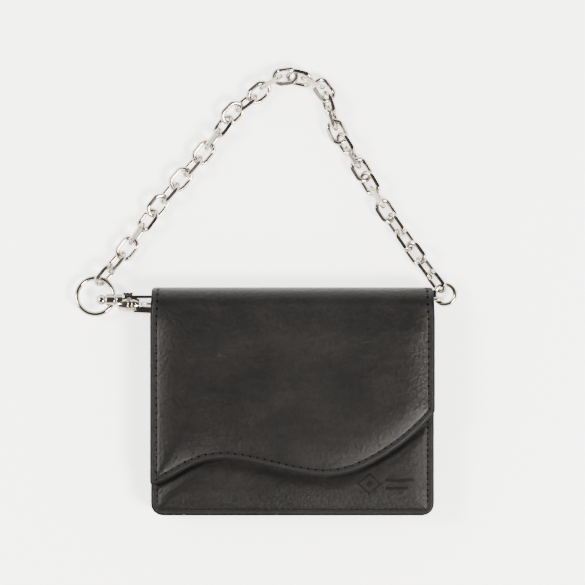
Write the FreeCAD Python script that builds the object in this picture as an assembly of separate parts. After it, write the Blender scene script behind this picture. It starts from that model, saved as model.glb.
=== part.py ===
import FreeCAD, Part
import math
import os

# A small flap wallet of black leather that lies on its back, with a steel chain that runs from a
# swivel snap hook on its left side to a ring on its right side. Millimetres. The origin is the
# middle of the back face. X runs along the spine, Y towards the spine, Z out of the front.

V = FreeCAD.Vector
X_AXIS = V(1, 0, 0)
Z_AXIS = V(0, 0, 1)

# Overall sizes
wallet_width = 115.0
wallet_height = 92.3
wallet_thickness = 16.0

# Leather, cloth and gaps
back_leather = 1.4
back_cloth = 0.4
flap_leather = 1.4
flap_cloth = 0.5
flap_gap = 0.3
front_leather = 1.2
front_cloth = 0.5
gusset_leather = 0.6
divider_leather = 0.8
pocket_leather = 0.5
pocket_slot = 0.4
tab_leather = 0.9

# Plan shape of the panels
body_setback = 0.3
spine_narrowing = 0.6
spine_taper_length = 12.0
corner_radius = 5.0
spine_corner_radius = 1.5
flap_corner_radius = 1.3
shoulder_radius = 20.0
least_radius = 0.5
lining_setback = 0.8
back_lining_stop = 1.0
flap_lining_tuck = 0.5
flap_rim = 3.5
mouth_setback = 10.0

# Wave of the flap's free edge: the left corner, the crest, the trough and the right corner.
# Heights are counted from the wallet's bottom edge.
wave_left = 11.95
wave_crest = (-28.5, 22.85)
wave_trough = (14.0, 15.95)
wave_right = 42.15
wave_left_pull = (11.0, 3.2)
wave_crest_pull = 13.0
wave_trough_pull = 15.0
wave_right_pull = (7.5, 10.5)
wave_steps = 8
wave_run_on = 4.0

# Inside
channel_depth = 12.5
gusset_setback = 2.0
gusset_ear_hem = 0.3
gusset_gap = 0.3
divider_height = 4.6
divider_below_spine = 13.15
pockets_below_spine = (22.15, 34.15)
pocket_seam = 3.0
magnet_diameter = 10.0
magnet_thickness = 0.8
magnet_cover = 0.1
plate_thickness = 0.5
magnet_above_bottom = 33.15

# D-rings and their tabs
d_wire = 1.5
d_reach = 4.4
d_length = 11.4
d_height = 7.9
d_hook_gap = 0.15
d_corner = 2.4
d_bar_corner = 0.95
d_left_drop = 6.75
d_right_drop = 4.85
tab_clearance = 0.08
tab_side_clearance = 0.3

# Heights that the hook, the rings and the chain's ends share
hardware_z = 5.2

# Snap hook
hook_bar_z = 1.7
hook_arm_z = 2.6
hook_hole_drop = 4.5
hook_hole_height = 3.25
hook_hole_outside = 4.6
hook_hole_length = 6.3
hook_point = 1.9
hook_arm = 3.2
hook_round = 2.6
hook_root = 2.5
hook_root_rise = 0.6
hook_root_round = 0.3
hook_tip_round = 0.8
hook_hole_round = 0.9
hook_step = 0.1
bulb_radius = 3.05
bulb_length = 8.6
bulb_neck = 2.3
bulb_widest = 0.55
bulb_drop = 1.85
groove_depth = 0.35
groove_width = 0.8
groove_pitch = 1.5
groove_count = 3
neck_radius = 2.5
neck_length = 2.6
neck_in_bulb = 1.7
neck_round = 0.6
neck_wall = 0.4
hook_edge_round = 0.45

# Gate of the hook, its pin and its spring
gate_z = 1.6
gate_arm = 1.2
gate_end_gap = 0.3
gate_side_gap = 0.1
gate_root = 1.05
gate_root_sink = 0.2
gate_tail = 1.9
gate_tip_round = 0.35
pivot_back = 4.2
pivot_drop = 0.65
pin_radius = 0.6
pin_clearance = 0.05
pin_half_length = 2.35
knob_length = 4.2
knob_height = 1.25
knob_width = 3.0
knob_teeth = 3
knob_behind = 0.62
knob_round = 0.3
tooth_radius = 0.32
spring_wire = 0.28
spring_turns = 2.5
spring_round_pin = 0.1
spring_turn_gap = 0.05
spring_off_gate = 0.06
spring_room = 1.3

# Swivel: the rivet through the eye, and the eye with its ring
post_drop = 5.15
post_radius = 1.1
post_clearance = 0.06
post_seat = 2.7
post_head_radius = 2.2
post_head_bulge = 1.55
eye_length = 4.2
eye_radius = 2.4
eye_gap = 0.1
eye_round = 0.7
ring_outer = 17.0
ring_wire = 2.0
ring_tilt = -10.0
ring_offset_y = 1.6
ring_in_eye = 1.3

# Ring at the chain's other end
end_ring_outer = 9.9
end_ring_wire = 1.8
end_ring_outside = 4.4
end_ring_drop = 2.9

# Chain links, filed flat along the outer edges of their long sides
link_wire = 1.9
link_inner_length = 7.4
link_inner_width = 4.2
link_facet_depth = 0.28
link_flat_end = 0.001

# Where the chain's left leg lies: link number, then the middle of that link in plan from the
# swivel ring's middle, with its height over the table
left_leg = (
    (1, V(3.8, 8.5, 4.2)),
    (3, V(12.9, 19.3, 4.2)),
    (6, V(25.4, 36.6, 4.2)),
    (10, V(44.0, 58.2, 4.2)),
    (13, V(55.7, 74.3, 4.2)),
    (15, V(66.4, 82.6, 4.2)),
    (16, V(71.2, 86.8, 4.4)),
    (17, V(77.0, 89.2, 4.4)),
)
# The same for the right leg, from the end ring's middle; the legs share the link at the top
right_leg = (
    (17, V(-64.9, 88.55, 4.4)),
    (18, V(-59.1, 87.75, 4.4)),
    (19, V(-53.7, 85.95, 4.4)),
    (20, V(-49.1, 82.95, 4.6)),
    (21, V(-47.3, 77.35, 4.2)),
    (23, V(-43.7, 65.95, 4.2)),
    (26, V(-33.9, 50.55, 4.2)),
    (29, V(-24.0, 33.95, 4.2)),
    (32, V(-12.1, 16.75, 4.4)),
    (34, V(-3.5, 5.25, 5.1)),
)
# Roll of each link about its own length: nought lies flat, and a plus lifts the left side
chain_rolls = (
    56, -60, 12, 76, -40, 24, -60, 15, -62, 15, 78, -48, 20, -60, 22, 95, -18,
    36, 96, -16, 58, 110, -5, 52, 108, -20, 38, 98, -25, 55, -45, 35, -55, 55,
)

# Places worked out from the sizes above
half_height = wallet_height / 2
half_body = wallet_width / 2 - body_setback
half_flap = wallet_width / 2
spine_radius = wallet_thickness / 2
spine_y = half_height - spine_radius
mouth_y = half_height - mouth_setback
divider_top = half_height - divider_below_spine
pocket_tops = [half_height - drop for drop in pockets_below_spine]
magnet_place = (0.0, magnet_above_bottom - half_height)
gusset_top = mouth_y - gusset_setback
back_top = back_leather + back_cloth
flap_under = wallet_thickness - flap_leather
flap_foam = magnet_thickness + magnet_cover
flap_foam_low = flap_under - flap_foam
flap_low = flap_foam_low - flap_cloth
front_top = flap_low - flap_gap
front_low = front_top - front_leather
front_inside = front_low - front_cloth
web_x = half_body - channel_depth
d_outer = half_body + d_reach
d_bar_x = d_outer - d_length + d_wire / 2
d_bottom = hardware_z - hook_bar_z / 2 - d_hook_gap - d_wire
d_left_y = half_height - d_left_drop
d_right_y = half_height - d_right_drop
hook_hole_high = half_height - hook_hole_drop
hook_hole_low = hook_hole_high - hook_hole_height
hook_hole_left = -half_flap - hook_hole_outside
hook_hole_right = hook_hole_left + hook_hole_length
post_y = half_height - post_drop
pivot = V(hook_hole_left - pivot_back, hook_hole_high - pivot_drop, hardware_z)
post_axis = V(0, post_y, hardware_z)
bulb_left = hook_hole_left - bulb_length
bulb_centre_y = post_y - bulb_drop
neck_left = bulb_left - neck_length + neck_in_bulb
eye_right = neck_left - eye_gap
eye_left = eye_right - eye_length
swivel_ring_x = (eye_left + eye_right) / 2 + ring_in_eye - (ring_outer - ring_wire) / 2
swivel_ring_centre = V(swivel_ring_x, post_y + ring_offset_y, 0)
end_ring_centre = V(half_flap + end_ring_outside, half_height - end_ring_drop, 0)


def save(name, shape):
    """Write one piece to its own STEP file."""
    shape.exportStep("parts/" + name + ".step")
    print(name, "solids", len(shape.Solids), "volume", round(shape.Volume, 2), shape.isValid())
    return shape


def box(x, y, z):
    """A box between two values on each axis."""
    return Part.makeBox(x[1] - x[0], y[1] - y[0], z[1] - z[0], V(x[0], y[0], z[0]))


def rounded_wire(points, radii):
    """A closed polygon with an arc of its own radius at each corner."""
    count = len(points)
    edges = []
    ends = []
    for index, corner in enumerate(points):
        back = (points[index - 1] - corner).normalize()
        ahead = (points[(index + 1) % count] - corner).normalize()
        half = back.getAngle(ahead) / 2
        reach = radii[index] / math.tan(half)
        start = corner + back * reach
        end = corner + ahead * reach
        middle_way = (back + ahead).normalize()
        middle = corner + middle_way * (radii[index] / math.sin(half) - radii[index])
        edges.append(Part.Arc(start, middle, end).toShape())
        ends.append((start, end))
    lines = []
    for index in range(count):
        after = (index + 1) % count
        lines.append(edges[index])
        if (ends[index][1] - ends[after][0]).Length > 1e-6:
            lines.append(Part.makeLine(ends[index][1], ends[after][0]))
    return Part.Wire(lines)


def prism(wire, low, high):
    """A plan outline in the XY plane raised between two heights."""
    face = Part.Face(wire)
    face.translate(V(0, 0, low))
    return face.extrude(V(0, 0, high - low))


def tube(path, diameter):
    """A round wire bent along a closed path, which starts with a corner arc."""
    start = path.OrderedEdges[0].valueAt(path.OrderedEdges[0].FirstParameter)
    way = path.OrderedEdges[0].tangentAt(path.OrderedEdges[0].FirstParameter)
    section = Part.Wire([Part.makeCircle(diameter / 2, start, way)])
    return path.makePipeShell([section], True, False)


# Plan outlines


def panel_outline(half_width, setback, low_radius, top_radius):
    """A panel seen from the front, drawn in at its sides and bottom, a little narrower at the spine."""
    half = half_width - setback
    low = -half_height + setback
    shoulder = half_height - spine_taper_length
    top = half - spine_narrowing
    points = [
        V(-half, low, 0), V(half, low, 0), V(half, shoulder, 0),
        V(top, half_height, 0), V(-top, half_height, 0), V(-half, shoulder, 0),
    ]
    low_radius = max(low_radius - setback, least_radius)
    return rounded_wire(
        points, [low_radius, low_radius, shoulder_radius, top_radius, top_radius, shoulder_radius]
    )


def body_outline(setback):
    """The back panel: round corners below and nearly square ones at the spine."""
    return panel_outline(half_body, setback, corner_radius, spine_corner_radius)


def wave_points(setback):
    """Points along the flap's free edge from left to right, moved in by a setback."""
    bottom = V(0, -half_height, 0)
    left = bottom + V(-half_flap, wave_left, 0)
    crest = bottom + V(*wave_crest, 0)
    trough = bottom + V(*wave_trough, 0)
    right = bottom + V(half_flap, wave_right, 0)
    curves = (
        (left, left + V(*wave_left_pull, 0), crest - V(wave_crest_pull, 0, 0), crest),
        (crest, crest + V(wave_crest_pull, 0, 0), trough - V(wave_trough_pull, 0, 0), trough),
        (trough, trough + V(wave_trough_pull, 0, 0), right - V(*wave_right_pull, 0), right),
    )
    points = []
    ways = []
    for poles in curves:
        curve = Part.BezierCurve()
        curve.setPoles(list(poles))
        for step in range(wave_steps + 1):
            if step or not points:
                ways.append(curve.tangent(step / wave_steps)[0])
                points.append(curve.value(step / wave_steps) + Z_AXIS.cross(ways[-1]) * setback)
    return [points[0] - ways[0] * wave_run_on] + points + [points[-1] + ways[-1] * wave_run_on]


def flap_prism(low, high, setback=0.0):
    """The flap's outline as a solid, drawn in by a setback, with its corners rounded."""
    outline = panel_outline(half_flap, setback, flap_corner_radius, flap_corner_radius)
    points = wave_points(setback)
    wave = Part.BSplineCurve()
    wave.interpolate(points)
    right_top = V(points[-1].x, wallet_height, 0)
    left_top = V(points[0].x, wallet_height, 0)
    above_wave = Part.Wire([
        wave.toShape(),
        Part.makeLine(points[-1], right_top),
        Part.makeLine(right_top, left_top),
        Part.makeLine(left_top, points[0]),
    ])
    solid = prism(outline, low, high).common(prism(above_wave, low, high))
    corners = []
    for edge in solid.Edges:
        upright = abs(edge.tangentAt(edge.FirstParameter).z) > 0.99
        if upright and edge.CenterOfMass.y < half_height - 2 * spine_taper_length:
            corners.append(edge)
    return solid.makeFillet(flap_corner_radius, corners)


# Wallet body


def spine_sheet(thickness):
    """A flat sheet at z 0 with a quarter turn up to mid-thickness, seen from the side."""
    inner = spine_radius - thickness
    diagonal = math.sqrt(0.5)
    centre = V(0, spine_y, spine_radius)
    outer_arc = Part.Arc(
        V(0, spine_y, 0),
        centre + V(0, spine_radius * diagonal, -spine_radius * diagonal),
        V(0, half_height, spine_radius),
    )
    inner_arc = Part.Arc(
        V(0, half_height - thickness, spine_radius),
        centre + V(0, inner * diagonal, -inner * diagonal),
        V(0, spine_y, thickness),
    )
    low = -half_height
    edges = [
        Part.makeLine(V(0, low, 0), V(0, spine_y, 0)),
        outer_arc.toShape(),
        Part.makeLine(V(0, half_height, spine_radius), V(0, half_height - thickness, spine_radius)),
        inner_arc.toShape(),
        Part.makeLine(V(0, spine_y, thickness), V(0, low, thickness)),
        Part.makeLine(V(0, low, thickness), V(0, low, 0)),
    ]
    face = Part.Face(Part.Wire(edges))
    face.translate(V(-wallet_width, 0, 0))
    return face.extrude(V(2 * wallet_width, 0, 0))


def make_outer_back():
    """The back leather with the lower half of the spine's curve."""
    return spine_sheet(back_leather).common(prism(body_outline(0.0), -1.0, spine_radius + 1.0))


def make_back_lining():
    """The cloth inside the back, up to where the spine begins to curve."""
    sheet = prism(body_outline(front_leather), back_leather, back_top)
    return sheet.common(box((-half_body, half_body), (-half_height, spine_y - back_lining_stop), (0, back_top)))


def make_front_panel():
    """The front leather, folded down round the bottom and its corners to meet the back."""
    outside = prism(body_outline(0.0), back_leather, front_top)
    inside = prism(body_outline(front_leather), back_leather, front_low)
    shell = outside.cut(inside)
    plate_zone = box((-half_body, half_body), (-half_height, mouth_y), (front_low, front_top))
    wall_top = -half_height + corner_radius
    wall_zone = box((-half_body, half_body), (-half_height, wall_top), (0, front_top))
    recess = Part.makeCylinder(
        magnet_diameter / 2, plate_thickness, V(magnet_place[0], magnet_place[1], front_low)
    )
    return shell.common(plate_zone.fuse(wall_zone)).cut(recess).removeSplitter()


def make_front_lining():
    """The cloth inside the front."""
    sheet = prism(body_outline(front_leather), front_inside, front_low)
    zone = box((-half_body, half_body), (-half_height, mouth_y - lining_setback), (0, front_low))
    return sheet.common(zone)


def make_gusset():
    """The left side strip: two legs along the panels and a web that closes the inside."""
    low = -half_height + corner_radius
    leg_x = (-half_body + front_leather, -web_x)
    web = (-web_x, -web_x + gusset_leather)
    outer = box((leg_x[0], web[1]), (low, gusset_top), (back_top, front_inside))
    hollow = box(
        (leg_x[0], web[0]),
        (low, gusset_top),
        (back_top + gusset_leather, front_inside - gusset_leather),
    )
    sheet = outer.cut(hollow)
    bottom = box(web, (-half_height + front_leather, low), (back_top, front_inside))
    ear_top = max(d_left_y, d_right_y) + tab_leather + gusset_ear_hem
    rise = math.sqrt((spine_radius - back_leather) ** 2 - (ear_top - spine_y) ** 2)
    ear_low = spine_radius - rise + gusset_gap
    ear = box(web, (gusset_top, ear_top), (ear_low, front_inside - gusset_gap))
    return sheet.fuse([bottom, ear]).removeSplitter()


def mirrored(shape):
    """The same piece for the other side."""
    return shape.mirror(V(0, 0, 0), X_AXIS)


def make_divider():
    """The leaf between the note compartment and the card pockets."""
    low = back_top + divider_height
    half = web_x - gusset_leather
    return box((-half, half), (-half_height + front_leather, divider_top), (low, low + divider_leather))


def make_card_pocket(order):
    """A card pocket: a leaf on a sewn border, open towards the spine."""
    pitch = pocket_slot + pocket_leather
    low = back_top + divider_height + divider_leather + order * pitch
    half = web_x - gusset_leather
    y_low = -half_height + front_leather
    leaf = box((-half, half), (y_low, pocket_tops[order]), (low, low + pitch))
    slot = box(
        (-half + pocket_seam, half - pocket_seam),
        (y_low + pocket_seam, pocket_tops[order]),
        (low, low + pocket_slot),
    )
    return leaf.cut(slot)


def make_snap_plate():
    """The steel disc behind the front leather that the magnet holds."""
    return Part.makeCylinder(
        magnet_diameter / 2, plate_thickness, V(magnet_place[0], magnet_place[1], front_low)
    )


# Flap


def make_outer_flap():
    """The flap's leather with the upper half of the spine's curve and a rim round the foam."""
    sheet = spine_sheet(flap_leather)
    sheet = sheet.mirror(V(0, 0, spine_radius), Z_AXIS)
    sheet = sheet.common(flap_prism(spine_radius - 1.0, wallet_thickness + 1.0))
    rim = flap_prism(flap_foam_low, flap_under).cut(flap_prism(flap_foam_low, flap_under, flap_rim))
    zone = box((-half_flap, half_flap), (-half_height, mouth_y), (flap_foam_low, flap_under))
    return sheet.fuse(rim.common(zone)).removeSplitter()


def make_magnet_disc(low):
    """A disc the size of the magnet."""
    return Part.makeCylinder(
        magnet_diameter / 2, magnet_thickness, V(magnet_place[0], magnet_place[1], low)
    )


def make_flap_filler():
    """The foam that puffs the flap, with a seat for the magnet."""
    foam = flap_prism(flap_foam_low, flap_under, flap_rim)
    zone = box((-half_flap, half_flap), (-half_height, mouth_y), (flap_foam_low, flap_under))
    return foam.common(zone).cut(make_magnet_disc(flap_foam_low))


def make_flap_lining():
    """The cloth under the flap."""
    sheet = flap_prism(flap_low, flap_foam_low, lining_setback)
    zone = box((-half_flap, half_flap), (-half_height, mouth_y + flap_lining_tuck), (flap_low, flap_foam_low))
    return sheet.common(zone)


# D-rings and tabs


def make_d_ring():
    """The left D-ring, upright in the XZ plane: its bar is along Z, nearest the wallet's middle."""
    half = d_wire / 2
    bar = -d_bar_x
    outer = -d_outer + half
    low = d_bottom + half
    high = d_bottom + d_height - half
    points = [V(bar, 0, low), V(bar, 0, high), V(outer, 0, high), V(outer, 0, low)]
    path = rounded_wire(points, [d_bar_corner, d_bar_corner, d_corner, d_corner])
    return tube(path, d_wire)


def make_tab():
    """The left tab: a strap folded round the D-ring's bar, its two ends together at the gusset."""
    bore = d_wire / 2 + tab_clearance
    low = d_bottom + d_wire + tab_side_clearance
    high = d_bottom + d_height - d_wire - tab_side_clearance
    loop = Part.makeCylinder(bore + tab_leather, high - low, V(-d_bar_x, 0, low))
    legs = box((-d_bar_x, -web_x), (-tab_leather, tab_leather), (low, high))
    hole = Part.makeCylinder(bore, high - low, V(-d_bar_x, 0, low))
    return loop.fuse(legs).cut(hole).removeSplitter()


# Snap hook


def make_hook_body():
    """The hook: a ribbed bulb, a neck for the rivet, and an arm that turns up to a point."""
    low_y = hook_hole_low - hook_arm
    point_x = hook_hole_right + hook_point
    point_top = hook_hole_high + gate_arm
    inside = hook_hole_left - hook_root
    outline = [
        V(inside, low_y + hook_root_rise, 0), V(point_x, low_y, 0), V(point_x, point_top, 0),
        V(hook_hole_right, point_top, 0), V(hook_hole_right, hook_hole_low, 0),
        V(inside, hook_hole_low, 0),
    ]
    radii = [
        hook_root_round, hook_round, hook_tip_round, hook_tip_round, hook_hole_round, hook_root_round,
    ]
    wire = rounded_wire(outline, radii)
    arm = prism(wire, hardware_z - hook_arm_z / 2, hardware_z + hook_arm_z / 2)
    arm = round_edges(arm, hook_edge_round)
    thin = hook_bar_z / 2
    far = wallet_width
    above = hook_hole_low + hook_step
    arm = arm.cut(box((-far, 0), (above, far), (hardware_z + thin, hardware_z + far)))
    arm = arm.cut(box((-far, 0), (above, far), (hardware_z - far, hardware_z - thin)))
    body = make_bulb().fuse([arm, make_neck()])
    gate_slot = box(
        (neck_left, hook_hole_right),
        (pivot.y - gate_root - gate_side_gap, half_height),
        (hardware_z - gate_z / 2 - gate_side_gap, hardware_z + gate_z / 2 + spring_room),
    )
    slot_front = box(
        (neck_left + neck_length + neck_wall, hook_hole_right - gate_end_gap),
        (0, half_height),
        (-half_height, half_height),
    )
    body = body.cut(gate_slot.common(slot_front))
    pin_hole = Part.makeCylinder(pin_radius, 4 * bulb_radius, pivot - V(0, 0, 2 * bulb_radius))
    post_hole = Part.makeCylinder(post_radius, post_seat, V(neck_left, post_y, hardware_z), X_AXIS)
    return body.cut(pin_hole).cut(post_hole).removeSplitter()


def round_edges(shape, radius):
    """Round every edge of a cast piece."""
    return shape.makeFillet(radius, shape.Edges)


def make_bulb():
    """The hook's bulb, turned about its own axis, with ribs near its front."""
    middle = bulb_left + bulb_widest * bulb_length
    arc = Part.Arc(
        V(bulb_left, bulb_neck, 0), V(middle, bulb_radius, 0), V(hook_hole_left, bulb_neck, 0)
    )
    edges = [
        arc.toShape(),
        Part.makeLine(V(hook_hole_left, bulb_neck, 0), V(hook_hole_left, 0, 0)),
        Part.makeLine(V(hook_hole_left, 0, 0), V(bulb_left, 0, 0)),
        Part.makeLine(V(bulb_left, 0, 0), V(bulb_left, bulb_neck, 0)),
    ]
    bulb = Part.Face(Part.Wire(edges)).revolve(V(0, 0, 0), X_AXIS, 360)
    for number in range(groove_count):
        place = middle + (number - 0.5) * groove_pitch
        groove = Part.makeTorus(bulb_radius + groove_width / 2 - groove_depth, groove_width / 2,
                                V(place, 0, 0), X_AXIS)
        bulb = bulb.cut(groove)
    bulb.translate(V(0, bulb_centre_y, hardware_z))
    return bulb


def make_neck():
    """The round neck that takes the rivet's shank."""
    neck = Part.makeCylinder(neck_radius, neck_length, V(neck_left, post_y, hardware_z), X_AXIS)
    rim = [edge for edge in neck.Edges if edge.CenterOfMass.x < neck_left + 0.01]
    return neck.makeFillet(neck_round, rim)


def make_gate():
    """The gate: a bar on a round root, with a toothed thumb piece, bored for its pin."""
    low = hardware_z - gate_z / 2
    high = hardware_z + gate_z / 2
    end = hook_hole_right - gate_end_gap
    back = pivot.x - gate_tail
    bar = box((back, end), (hook_hole_high, hook_hole_high + gate_arm), (low, high))
    tip = [edge for edge in bar.Edges if edge.CenterOfMass.x > end - 0.01]
    bar = bar.makeFillet(gate_tip_round, tip)
    root = Part.makeCylinder(gate_root, gate_z, V(pivot.x, pivot.y, low))
    web = box((pivot.x - gate_root, pivot.x + gate_root), (pivot.y, hook_hole_high + gate_root_sink), (low, high))
    knob_low = hook_hole_high + gate_arm
    knob_left = pivot.x - knob_behind * knob_length
    knob = box(
        (knob_left, knob_left + knob_length),
        (knob_low, knob_low + knob_height),
        (hardware_z - knob_width / 2, hardware_z + knob_width / 2),
    )
    knob = round_edges(knob, knob_round)
    tooth = knob_length / knob_teeth
    for number in range(1, knob_teeth):
        place = V(knob_left + number * tooth, knob_low + knob_height, hardware_z - knob_width)
        knob = knob.cut(Part.makeCylinder(tooth_radius, 2 * knob_width, place))
    bore = Part.makeCylinder(pin_radius + pin_clearance, gate_z, V(pivot.x, pivot.y, low))
    return bar.fuse([root, web, knob]).cut(bore).removeSplitter()


def make_gate_pin():
    """The pin that the gate turns on."""
    return Part.makeCylinder(pin_radius, 2 * pin_half_length, pivot - V(0, 0, pin_half_length))


def make_gate_spring():
    """The small coil round the pin, beside the gate."""
    radius = pin_radius + spring_round_pin + spring_wire / 2
    pitch = spring_wire + spring_turn_gap
    base = hardware_z + gate_z / 2 + spring_off_gate + spring_wire / 2
    helix = Part.makeHelix(pitch, spring_turns * pitch, radius)
    helix.translate(V(pivot.x, pivot.y, base))
    start = V(pivot.x + radius, pivot.y, base)
    section = Part.Wire([Part.makeCircle(spring_wire / 2, start, V(0, 1, 0))])
    return Part.Wire(helix.Edges).makePipeShell([section], True, True)


def make_swivel_post():
    """The rivet, turned about its axis: a round head in the ring and a shank pressed into the neck."""
    seat = eye_left - eye_gap
    end = neck_left + post_seat
    ball = seat - post_head_bulge
    ball_edge = math.sqrt(post_head_radius ** 2 - post_head_bulge ** 2)
    head = Part.Arc(V(seat, ball_edge, 0), V(ball, post_head_radius, 0), V(ball - post_head_radius, 0, 0))
    corners = [
        V(ball - post_head_radius, 0, 0), V(end, 0, 0), V(end, post_radius, 0),
        V(seat, post_radius, 0), V(seat, ball_edge, 0),
    ]
    edges = [head.toShape()]
    for start, stop in zip(corners, corners[1:]):
        edges.append(Part.makeLine(start, stop))
    post = Part.Face(Part.Wire(edges)).revolve(V(0, 0, 0), X_AXIS, 360)
    post.translate(V(0, post_y, hardware_z))
    return post


def make_swivel_ring():
    """The ring with its barrel-shaped eye, leaning a little on the rivet."""
    mean = (ring_outer - ring_wire) / 2
    ring = Part.makeTorus(mean, ring_wire / 2, V(swivel_ring_x, ring_offset_y, 0), Z_AXIS)
    reach = ring_outer + ring_offset_y
    ring = ring.common(box((-2 * wallet_width, eye_right), (-reach, reach), (-reach, reach)))
    eye = Part.makeCylinder(eye_radius, eye_length, V(eye_left, 0, 0), X_AXIS)
    rims = [edge for edge in eye.Edges if abs(edge.Length - 2 * math.pi * eye_radius) < 0.01]
    eye = eye.makeFillet(eye_round, rims)
    bore = Part.makeCylinder(
        post_radius + post_clearance, eye_length + 2 * ring_wire, V(eye_left - ring_wire, 0, 0), X_AXIS
    )
    ring = ring.fuse(eye).cut(bore).removeSplitter()
    ring.rotate(V(0, 0, 0), X_AXIS, ring_tilt)
    ring.translate(post_axis)
    return ring


def make_end_ring():
    """The plain ring between the last link and the right D-ring."""
    mean = (end_ring_outer - end_ring_wire) / 2
    centre = end_ring_centre + V(0, 0, hardware_z)
    return Part.makeTorus(mean, end_ring_wire / 2, centre, Z_AXIS)


# Chain


def make_link():
    """One flat oval link along X, with four filed flats on the outer edges of its long sides."""
    half_width = (link_inner_width + link_wire) / 2
    half_length = (link_inner_length + link_wire) / 2
    points = [
        V(half_length, -half_width, 0), V(half_length, half_width, 0),
        V(-half_length, half_width, 0), V(-half_length, -half_width, 0),
    ]
    link = tube(rounded_wire(points, [half_width - link_flat_end] * 4), link_wire)
    reach = half_width * math.sqrt(0.5) + link_wire / 2 - link_facet_depth
    size = 4 * half_length
    for number in range(4):
        file_cut = Part.makeBox(size, size, size, V(-size / 2, -size / 2, reach))
        file_cut.rotate(V(0, 0, 0), X_AXIS, 45 + 90 * number)
        link = link.cut(file_cut)
    return link


def in_plan(place):
    """A place seen from above."""
    return V(place.x, place.y, 0)


def top_of_chain():
    """Where two straight struts as long as the legs meet over the line between the two rings."""
    left_reach = in_plan(left_leg[-1][1]).Length
    right_reach = in_plan(right_leg[0][1]).Length
    across = end_ring_centre - swivel_ring_centre
    spread = across.Length
    along = (left_reach ** 2 - right_reach ** 2 + spread ** 2) / (2 * spread)
    rise = math.sqrt(left_reach ** 2 - along ** 2)
    across.normalize()
    return swivel_ring_centre + across * along + Z_AXIS.cross(across) * rise


def top_link_of(leg):
    """The place of the link that both legs share."""
    return dict(leg)[left_leg[-1][0]]


def swung_leg(leg, ring_centre, top):
    """A leg's places, turned about its ring so that the link at the top reaches its place."""
    wanted = top - ring_centre
    given = in_plan(top_link_of(leg))
    turn = math.atan2(wanted.y, wanted.x) - math.atan2(given.y, given.x)
    rotation = FreeCAD.Rotation(Z_AXIS, math.degrees(turn))
    return [(number, ring_centre + rotation.multVec(place)) for number, place in leg]


def link_middles():
    """The middle of each link, evenly spaced between the places given for some of them."""
    top = top_of_chain()
    places = swung_leg(left_leg, swivel_ring_centre, top)
    places += swung_leg(right_leg, end_ring_centre, top)[1:]
    middles = []
    for (first, start), (last, end) in zip(places, places[1:]):
        steps = last - first
        for step in range(steps):
            middles.append(start + (end - start) * (step / steps))
    middles.append(places[-1][1])
    return middles


def link_headings(middles):
    """Each link points from halfway to the link before it towards halfway to the one after."""
    headings = []
    for index, middle in enumerate(middles):
        before = middles[max(index - 1, 0)]
        after = middles[min(index + 1, len(middles) - 1)]
        headings.append((after - before).normalize())
    return headings


def placed_link(link, middle, heading, roll):
    """A link turned along its heading, rolled about it, and moved to its place."""
    left = Z_AXIS.cross(heading).normalize()
    up = heading.cross(left)
    turn = math.radians(roll)
    side = left * math.cos(turn) + up * math.sin(turn)
    normal = heading.cross(side)
    place = FreeCAD.Matrix(
        heading.x, side.x, normal.x, middle.x,
        heading.y, side.y, normal.y, middle.y,
        heading.z, side.z, normal.z, middle.z,
        0, 0, 0, 1,
    )
    placed = link.copy()
    placed.Placement = FreeCAD.Placement(place)
    return placed


def make_chain():
    """All the links, named in order from the hook to the end ring."""
    link = make_link()
    middles = link_middles()
    headings = link_headings(middles)
    links = {}
    for index, roll in enumerate(chain_rolls):
        name = "link_%02d" % (index + 1)
        links[name] = placed_link(link, middles[index], headings[index], roll)
        print(name, "middle", [round(value, 2) for value in middles[index]],
              "heading", [round(value, 4) for value in headings[index]])
    return links


def moved_y(shape, distance):
    """A copy of a piece, moved along Y."""
    copy = shape.copy()
    copy.translate(V(0, distance, 0))
    return copy


def make_all():
    """Every piece of the object, by name."""
    gusset = make_gusset()
    tab = make_tab()
    d_ring = make_d_ring()
    pieces = {
        "outer_back": make_outer_back(),
        "back_lining": make_back_lining(),
        "divider": make_divider(),
        "card_pocket_back": make_card_pocket(0),
        "card_pocket_front": make_card_pocket(1),
        "front_panel": make_front_panel(),
        "front_lining": make_front_lining(),
        "gusset_left": gusset,
        "gusset_right": mirrored(gusset),
        "snap_plate": make_snap_plate(),
        "tab_left": moved_y(tab, d_left_y),
        "tab_right": mirrored(moved_y(tab, d_right_y)),
        "outer_flap": make_outer_flap(),
        "flap_filler": make_flap_filler(),
        "flap_lining": make_flap_lining(),
        "snap_magnet": make_magnet_disc(flap_foam_low),
        "d_ring_left": moved_y(d_ring, d_left_y),
        "d_ring_right": mirrored(moved_y(d_ring, d_right_y)),
        "hook_body": make_hook_body(),
        "hook_gate": make_gate(),
        "gate_pin": make_gate_pin(),
        "gate_spring": make_gate_spring(),
        "swivel_post": make_swivel_post(),
        "swivel_ring": make_swivel_ring(),
        "end_ring": make_end_ring(),
    }
    pieces.update(make_chain())
    return pieces


os.makedirs("parts", exist_ok=True)
for piece_name, piece_shape in make_all().items():
    save(piece_name, piece_shape)
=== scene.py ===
# %% [markdown]
# # A chain wallet of black leather
# A small flap wallet lies on its back on a white table. A polished chain runs from a swivel snap hook
# on its left side to a plain ring on its right side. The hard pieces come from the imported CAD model.
# The leather is built again here, because leather has soft rounded edges, sewn lines that sink in,
# and a back, a spine and a flap that are one hide.

# %% Load the frame
import math

import bpy
from mathutils import Matrix, Vector


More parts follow.
